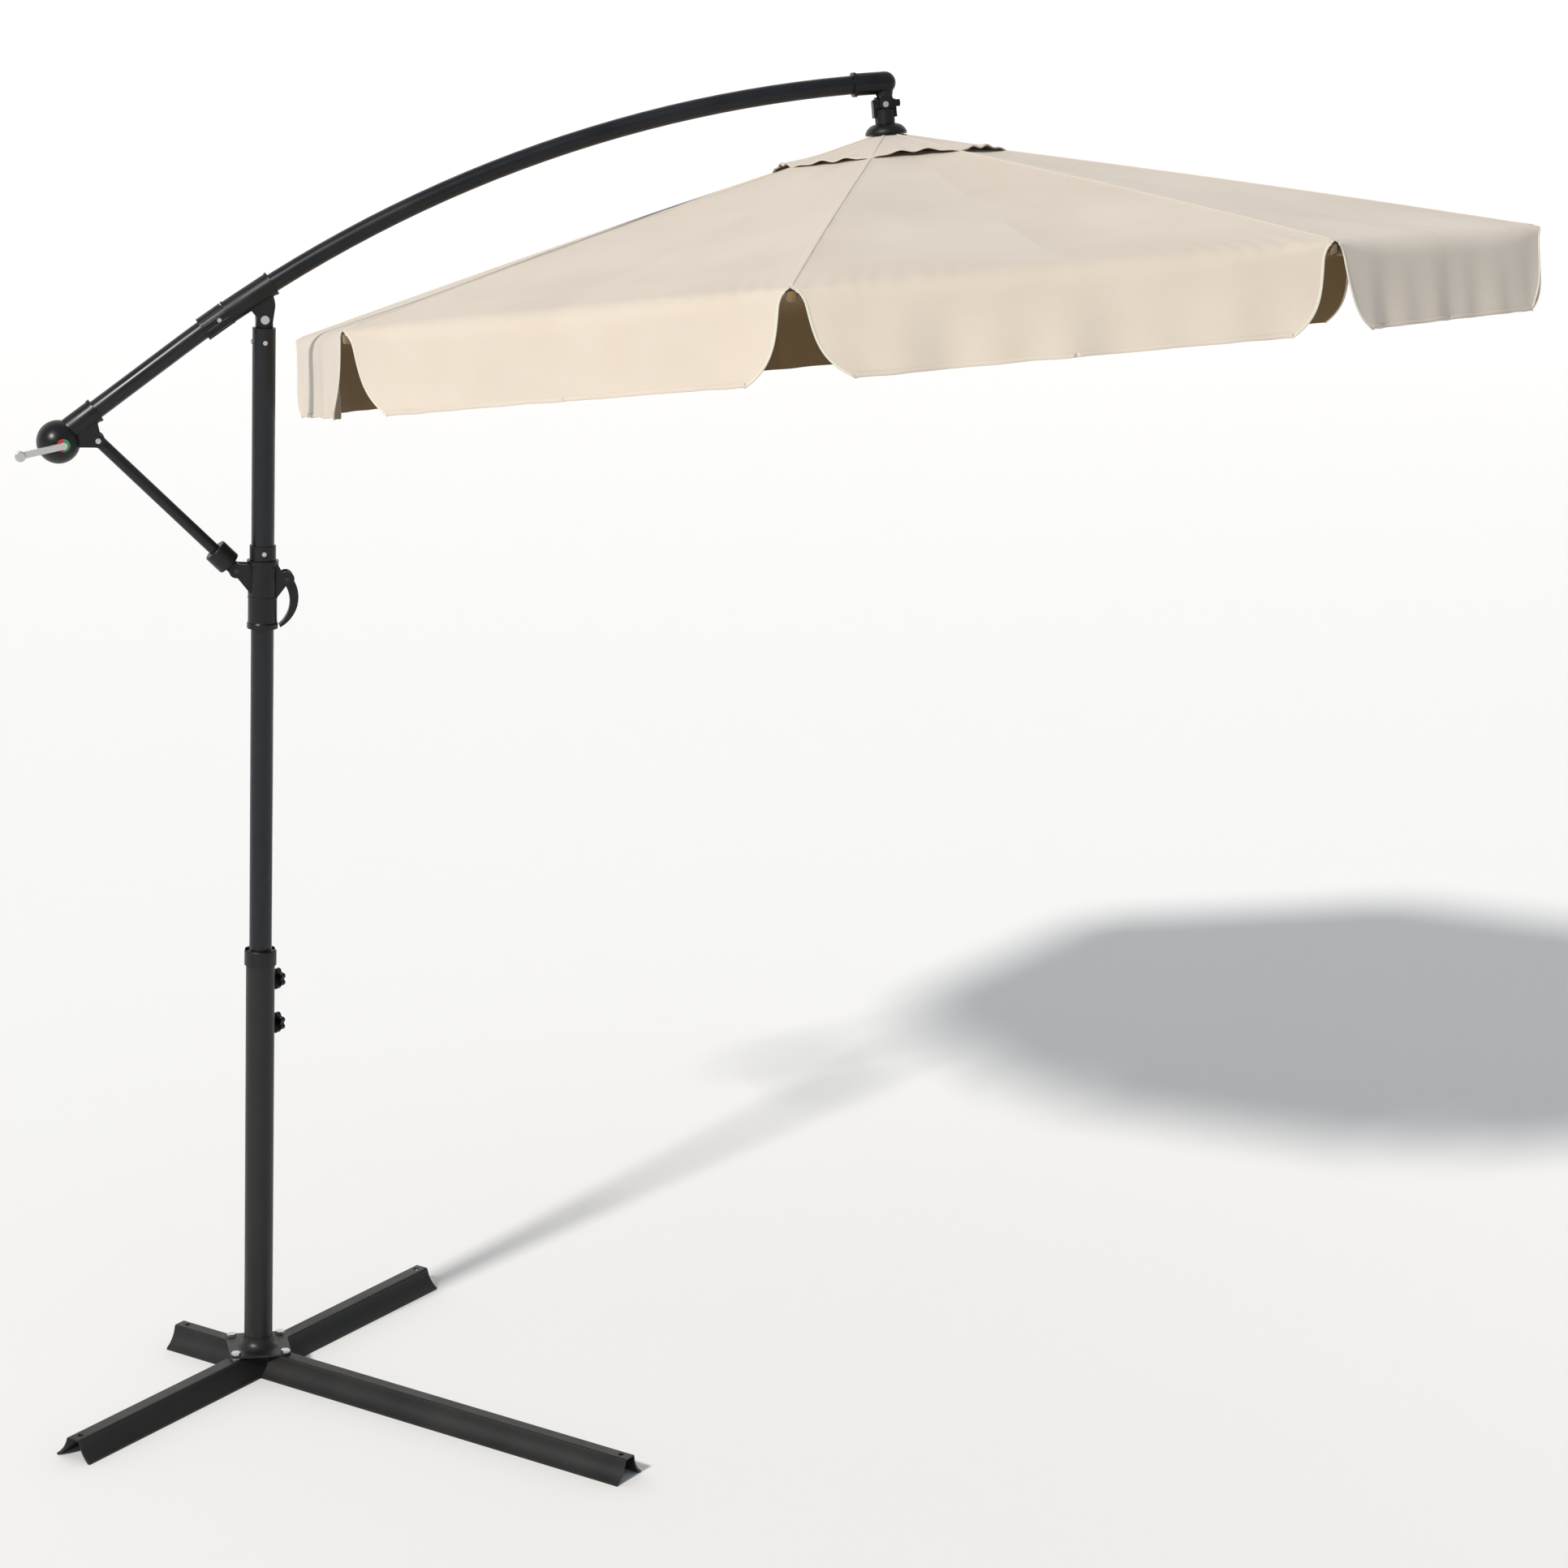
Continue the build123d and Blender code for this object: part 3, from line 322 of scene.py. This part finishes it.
# ---------------------------------------------------------------- cloth pieces
def mesh_piece(name, points, faces, flat, materials, thickness=0.0):
    """Mesh object from world points, with its cloth coordinates in metres as UVs."""
    mesh = bpy.data.meshes.new(name)
    mesh.from_pydata([tuple(p) for p in points], [], faces)
    layer = mesh.uv_layers.new(name="flat")
    for loop in mesh.loops:
        layer.data[loop.index].uv = flat[loop.vertex_index]
    piece = bpy.data.objects.new(name, mesh)
    bpy.context.scene.collection.objects.link(piece)
    for material in materials:
        mesh.materials.append(material)
    mesh.polygons.foreach_set("use_smooth", [True] * len(mesh.polygons))
    if thickness:
        if sum((p.normal.dot(UP) * p.area for p in mesh.polygons)) < 0:
            mesh.flip_normals()
        thick = piece.modifiers.new("cloth", "SOLIDIFY")
        thick.thickness = thickness
        thick.offset = -1
        # The inner shell takes the last material, which for the gores and vent cap is the painted-shade
        # underside colour
        thick.material_offset = len(materials) - 1
        thick.material_offset_rim = 0
        crisp = piece.modifiers.new("crisp edges", "EDGE_SPLIT")
        crisp.split_angle = radians(50)
    return piece


def crease(x, y, scale, seed):
    """Smooth signed noise in cloth coordinates."""
    return noise.noise(Vector((x * scale, y * scale, seed * 7.3)))


def slit_edge(t):
    """How far the valance's free edge stands from the corner at a share t of its depth."""
    arch = sqrt(1 - (1 - min(t / 0.2, 1)) ** 2)
    return 19.0 * arch + 22.0 * t + 50.0 * t**5


def top_point(k, sign, radius, v):
    """Cloth point on the roof: v runs from the rib line to the middle of the gore."""
    azimuth = corner_azimuth(k)
    rib = way(azimuth) * radius
    middle = way(azimuth + sign * HALF) * (radius * cos(HALF))
    spot = rib.lerp(middle, v)
    share = (radius - OPENING) / (RIM - OPENING)
    across = (rib - middle).length * v
    belly = sin(pi * min(max(share, 0), 1))
    height = APEX - radius * RISE
    height -= ROOF_SAG * belly * sin(v * pi / 2) ** 1.5
    height += ROOF_CROWN * belly
    pull = exp(-across / 45.0)
    height += 1.6 * pull * crease(radius, k * 31 + sign * 9, 0.035, k) * (1 - exp(-across / 6.0))
    tail = max(0.0, 1 - (RIM - radius) / 130.0)
    gather = sin(across * 0.16 + 3 * crease(across, radius, 0.01, k + sign)) * tail * (1 - v) ** 0.6
    height += 1.3 * gather * (1 - exp(-across / 14.0))
    height += 2.4 * crease(spot.x, spot.y, 0.006, 2) * (1 - exp(-across / 60.0)) * belly
    if across < SEAM_HALF:
        height += SEAM_RISE
    return Vector((spot.x, spot.y, height))


def skirt_point(k, sign, depth, v):
    """Cloth point on the valance at a depth below the rim fold."""
    azimuth = corner_azimuth(k)
    rib = way(azimuth) * RIM
    normal = way(azimuth + sign * HALF)
    middle = normal * (RIM * cos(HALF))
    long = (rib - middle).length
    t = min(max(depth / VALANCE, 0), 1)
    start = slit_edge(t) / long
    share = start + (1 - start) * v
    spot = rib.lerp(middle, share)
    gore = k if sign > 0 else (k - 1) % SIDES
    signed = (1 - share) * long * (-1 if sign > 0 else 1)
    wave = 5.5 * sin(signed * 0.0205 + gore * 1.7) + 3.0 * sin(signed * 0.047 + gore * 2.9)
    wave += 5.0 * crease(signed, gore * 90, 0.012, 5)
    flare = 4.0 * t + 10.0 * t**2 * exp(-(1 - start) * v * long / 60.0)
    push = (wave * t**1.3) + flare
    spot = spot + normal * push
    height = APEX - RIM * RISE - depth - 1.5 * crease(signed, 12.0 + gore, 0.02, 9) * t
    return Vector((spot.x, spot.y, height))


def fold_radius(v):
    """The rim's fold is tight at a corner and rolls softly between corners."""
    across = RIM * sin(HALF) * v
    return FOLD_TIGHT + FOLD_SOFT * (1 - exp(-across / 95.0))


def half_gore(k, sign):
    """Half a gore and half its valance as one continuous sheet, on one rib."""
    columns = 60
    top_count = 46
    fold_count = 9
    shares = [(j / columns) ** 1.25 for j in range(columns + 1)]
    rows = []
    for i in range(top_count + 1):
        line = []
        for v in shares:
            end = RIM - fold_radius(v)
            line.append(top_point(k, sign, OPENING + (end - OPENING) * i / top_count, v))
        rows.append(line)
    for i in range(1, fold_count):
        t = i / fold_count
        line = []
        for v in shares:
            roll = fold_radius(v)
            a = top_point(k, sign, RIM - roll, v)
            b = top_point(k, sign, RIM, v)
            c = skirt_point(k, sign, roll, v)
            line.append(a * (1 - t) ** 2 + b * (2 * t * (1 - t)) + c * t**2)
        rows.append(line)
    for i in range(SKIRT_ROWS + 1):
        line = []
        for v in shares:
            roll = fold_radius(v)
            line.append(skirt_point(k, sign, roll + (VALANCE - roll) * i / SKIRT_ROWS, v))
        rows.append(line)
    points = []
    flat = []
    travel = 0.0
    for i, line in enumerate(rows):
        if i:
            travel += (line[columns] - rows[i - 1][columns]).length
        side = 0.0
        for j in range(columns, -1, -1):
            if j < columns:
                side += (line[j] - line[j + 1]).length
            flat.append((side * sign / 1000 + k * 0.37, travel / 1000))
        for j in range(columns, -1, -1):
            points.append(head(*line[j]))
    wide = columns + 1
    faces = []
    for i in range(len(rows) - 1):
        for j in range(columns):
            a = i * wide + j
            quad = (a, a + 1, a + wide + 1, a + wide)
            faces.append(quad if sign < 0 else quad[::-1])
    name = f"canopy_half_{k + 1}{'a' if sign > 0 else 'b'}"
    # Outer face in the cloth colour, inner face in the painted-shade underside colour
    piece = mesh_piece(name, points, faces, flat, [CLOTH, UNDERSIDE_SHADE], CLOTH_THICK)
    area = sum(p.area for p in piece.data.polygons)
    return piece, rows, area


def tape(name, centre, outward, width, material, lift):
    """Narrow tape along a line of canopy points, lifted off the cloth, as an edge binding."""
    points = []
    flat = []
    faces = []
    run = 0.0
    count = len(centre)
    for i, spot in enumerate(centre):
        ahead = centre[min(i + 1, count - 1)] - centre[max(i - 1, 0)]
        up = outward[i].normalized()
        across = ahead.cross(up).normalized()
        if i:
            run += (spot - centre[i - 1]).length
        section = ((-0.5, -1.0), (-0.5, 0.6), (-0.32, 1.0), (0.32, 1.0), (0.5, 0.6), (0.5, -1.0))
        for a, b in section:
            points.append(head(*(spot + across * (a * width) + up * (b * lift))))
            flat.append((a * width / 1000, run / 1000))
        if i:
            base = (i - 1) * 6
            for j in range(6):
                n = (j + 1) % 6
                faces.append((base + j, base + n, base + 6 + n, base + 6 + j))
    faces.append(tuple(range(6)))
    last = (count - 1) * 6
    faces.append(tuple(range(last + 5, last - 1, -1)))
    piece = mesh_piece(name, points, faces, flat, [material])
    work = bmesh.new()
    work.from_mesh(piece.data)
    bmesh.ops.recalc_face_normals(work, faces=work.faces)
    work.to_mesh(piece.data)
    work.free()
    return piece


def hem_tapes(k, sign, rows):
    """Binding down the slit's free edge and hem along the foot of the valance."""
    normal = way(corner_azimuth(k) + sign * HALF)
    start = len(rows) - SKIRT_ROWS - 1
    edge = [rows[i][0] + (rows[i][1] - rows[i][0]).normalized() * 2.0 for i in range(start - 2, len(rows))]
    low = [rows[-1][j] + Vector((0, 0, 3.5)) for j in range(len(rows[-1]))]
    letter = "a" if sign > 0 else "b"
    pieces = [
        tape(f"slit_binding_{k + 1}{letter}", edge, [normal] * len(edge), 4.5, BINDING, 1.2),
        tape(f"foot_hem_{k + 1}{letter}", low, [normal] * len(low), 7.0, CLOTH, 1.0),
    ]
    return pieces


def build_canopy():
    """Sixteen half gores with their tapes, each riding its rib."""
    for k in range(SIDES):
        rib_body = f"rib_{k + 1}_body"
        for sign in (1, -1):
            piece, rows, area = half_gore(k, sign)
            extras = hem_tapes(k, sign, rows)
            for each in [piece, *extras]:
                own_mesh(each)
                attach(each, rib_body)
        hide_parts(f"canopy_panel_{k + 1}")


def vent_point(azimuth, share):
    """Point of the vent cap, which lifts between its seams and sits low on them."""
    turn = (azimuth - FIRST) % (2 * HALF)
    off = abs(turn - HALF)
    edge = VENT * cos(HALF) / cos(off)
    radius = VENT_HOLE + (edge - VENT_HOLE) * share
    between = 1 - (off / HALF) ** 2
    height = -53.0 - radius * cos(off) / cos(HALF) * RISE
    gore = int(((azimuth - FIRST) % (2 * pi)) / (2 * HALF))
    lift = VENT_LIFT + 3.5 * sin(gore * 2.4 + 1.0)
    height += lift * between * share**3
    height += 3.2 * sin(azimuth * 24 + gore) * share**4 * between
    height -= 3.0 * share**6 * (off / HALF) ** 6
    spot = way(azimuth) * radius
    return Vector((spot.x, spot.y, height))


def build_vent():
    """Vent cap over the opening: one sheet with a bound, slightly wavy edge and a seam at each corner."""
    around = 192
    rings = 18
    points = []
    flat = []
    faces = []
    for i in range(rings + 1):
        for j in range(around):
            azimuth = 2 * pi * j / around
            spot = vent_point(azimuth, i / rings)
            points.append(head(*spot))
            flat.append((spot.x / 1000, spot.y / 1000))
    for i in range(rings):
        for j in range(around):
            n = (j + 1) % around
            faces.append((i * around + j, (i + 1) * around + j, (i + 1) * around + n, i * around + n))
    # Outer face in the cloth colour, inner face in the painted-shade underside colour
    cap = mesh_piece("vent_cap_cloth", points, faces, flat, [CLOTH, UNDERSIDE_SHADE], CLOTH_THICK)
    line = [vent_point(2 * pi * j / around, 0.985) for j in range(around + 1)]
    normals = [Vector((0, 0, 1)) + way(2 * pi * j / around) * 0.25 for j in range(around + 1)]
    hem = tape("vent_hem", line, normals, TAPE_WIDE, CLOTH, 1.3)
    seams = []
    for k in range(SIDES):
        line = [vent_point(corner_azimuth(k), s / VENT_STEPS) for s in range(VENT_STEPS + 1)]
        normals = [Vector((0, 0, 1))] * len(line)
        seams.append(tape(f"vent_seam_{k + 1}", line, normals, TAPE_WIDE, CLOTH, 1.2))
    for each in [cap, hem, *seams]:
        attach(each, "hub")
    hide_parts("vent_cap")


def rib_seams():
    """Felled seam over each rib, a double-folded band that runs from the vent to the rim."""
    for k in range(SIDES):
        line = []
        for i in range(SEAM_STEPS + 1):
            line.append(top_point(k, 1, OPENING + (RIM - 14 - OPENING) * i / SEAM_STEPS, 0.0))
        normals = [Vector((0, 0, 1))] * len(line)
        seam = tape(f"rib_seam_{k + 1}", line, normals, TAPE_WIDE, CLOTH, 1.3)
        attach(seam, f"rib_{k + 1}_body")


def rib_pockets():
    """Sewn pocket that holds each rib's end under the corner of the canopy."""
    for k in range(SIDES):
        out = way(corner_azimuth(k))
        side = way(corner_azimuth(k) + pi / 2)
        points = []
        flat = []
        faces = []
        around = 20
        for i, (radius, wide, tall) in enumerate(POCKET_STATIONS):
            for j in range(around):
                turn = 2 * pi * j / around
                x = abs(cos(turn)) ** POCKET_ROUND * (1 if cos(turn) > 0 else -1) * wide
                z = abs(sin(turn)) ** POCKET_ROUND * (1 if sin(turn) > 0 else -1) * tall
                low = APEX - POCKET_DROP - radius * RISE + min(z, POCKET_TOP)
                spot = out * radius + side * x
                points.append(head(spot.x, spot.y, low))
                flat.append((turn * 0.012, radius / 1000))
        for i in range(len(POCKET_STATIONS) - 1):
            for j in range(around):
                n = (j + 1) % around
                faces.append((i * around + j, i * around + n, (i + 1) * around + n, (i + 1) * around + j))
        last = (len(POCKET_STATIONS) - 1) * around
        faces.append(tuple(range(last, last + around)))
        # The pocket under the corner takes the underside's painted-shade colour
        pocket = mesh_piece(f"rib_pocket_{k + 1}", points, faces, flat, [UNDERSIDE_SHADE])
        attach(pocket, f"rib_{k + 1}_body")


# ---------------------------------------------------------------- studio and camera
def build_floor():
    """Pale sweep that runs from the floor up into the backdrop."""
    profile = [(-40.0, 0.0), (14.0, 0.0)]
    for i in range(1, 17):
        bend = pi / 2 * i / 16
        profile.append((14.0 + 12.0 * sin(bend), 12.0 * (1 - cos(bend))))
    profile.append((26.0, 40.0))
    points = [(x, y, z) for y, z in profile for x in (-50.0, 50.0)]
    faces = [(2 * i, 2 * i + 1, 2 * i + 3, 2 * i + 2) for i in range(len(profile) - 1)]
    mesh = bpy.data.meshes.new("studio sweep")
    mesh.from_pydata(points, [], faces)
    mesh.polygons.foreach_set("use_smooth", [True] * len(mesh.polygons))
    floor = bpy.data.objects.new("studio sweep", mesh)
    bpy.context.scene.collection.objects.link(floor)
    material, tree, principled = shader("studio_floor", (0.86, 0.86, 0.86), 0.9)
    mesh.materials.append(material)


def build_studio():
    """Plain pale studio with a low key light from the front left and a soft sky fill."""
    build_floor()
    world = bpy.data.worlds.new("studio")
    world.use_nodes = True
    background = world.node_tree.nodes["Background"]
    background.inputs["Color"].default_value = (*SKY, 1)
    background.inputs["Strength"].default_value = SKY_STRENGTH
    bpy.context.scene.view_settings.view_transform = "Standard"
    bpy.context.scene.world = world
    sun = bpy.data.lights.new("sun", "SUN")
    sun.energy = SUN_STRENGTH
    sun.angle = radians(5)
    sun.color = (1.0, 0.955, 0.90)
    lamp = bpy.data.objects.new("sun", sun)
    source = Vector((cos(SUN_WAY) * cos(SUN_RISE), sin(SUN_WAY) * cos(SUN_RISE), sin(SUN_RISE)))
    lamp.rotation_euler = source.to_track_quat("Z", "Y").to_euler()
    bpy.context.scene.collection.objects.link(lamp)


def build_camera():
    """Camera at the photograph's standpoint."""
    eye = bpy.data.cameras.new("camera")
    eye.sensor_width = 36
    eye.lens = 84.2
    camera = bpy.data.objects.new("camera", eye)
    turn = Matrix.Rotation(radians(-14.38), 3, "Z")
    turn = turn @ Matrix.Rotation(radians(-14.03), 3, "X")
    turn = turn @ Matrix.Rotation(radians(-2.37), 3, "Y")
    lens_down = turn @ Matrix.Rotation(pi / 2, 3, "X")
    camera.matrix_world = Matrix.Translation((-0.7153, -6.783, 2.9182)) @ lens_down.to_4x4()
    bpy.context.scene.collection.objects.link(camera)
    bpy.context.scene.camera = camera


dress_frame()
build_canopy()
rib_seams()
rib_pockets()
build_vent()
build_studio()
build_camera()
